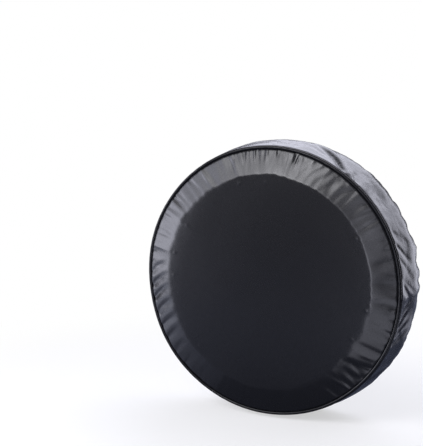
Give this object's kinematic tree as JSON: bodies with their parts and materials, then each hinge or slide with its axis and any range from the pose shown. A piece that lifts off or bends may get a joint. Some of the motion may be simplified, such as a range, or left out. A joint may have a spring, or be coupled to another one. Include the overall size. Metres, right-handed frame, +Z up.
{
  "type": "spare tyre cover",
  "caption": "Slip-on vinyl spare tyre cover with a flat round face, a piped edge and an elastic rear hem.",
  "frame": {"origin": "centre of the tyre that the cover fits, on the cover's axis and about midway through its depth", "axes": "+Y along the cover's axis, from the round front face towards the open rear mouth; +Z up, away from the cross seam at the foot; +X to the right of someone facing the front"},
  "size_m": [0.5408, 0.1379, 0.5408],
  "materials": {
    "cover_vinyl": "black leatherette vinyl with a soft gloss, fine grain and gathers along the sewn edges; dull knitted backing inside",
    "piping_vinyl": "smooth black vinyl, glossier than the cover",
    "filler_cord": "off-white twisted filler cord",
    "elastic": "black braided elastic, matte",
    "thread": "black bonded polyester thread"
  },
  "bodies": {
    "root": {"front_panel": "cover_vinyl", "side_band": "cover_vinyl", "piping_sleeve": "piping_vinyl", "piping_cord": "filler_cord", "elastic_cord": "elastic", "front_seam_needle_thread": "thread", "front_seam_bobbin_thread": "thread", "hem_needle_thread": "thread", "hem_bobbin_thread": "thread", "band_join_needle_thread": "thread", "band_join_bobbin_thread": "thread"}
  },
  "joints": []
}
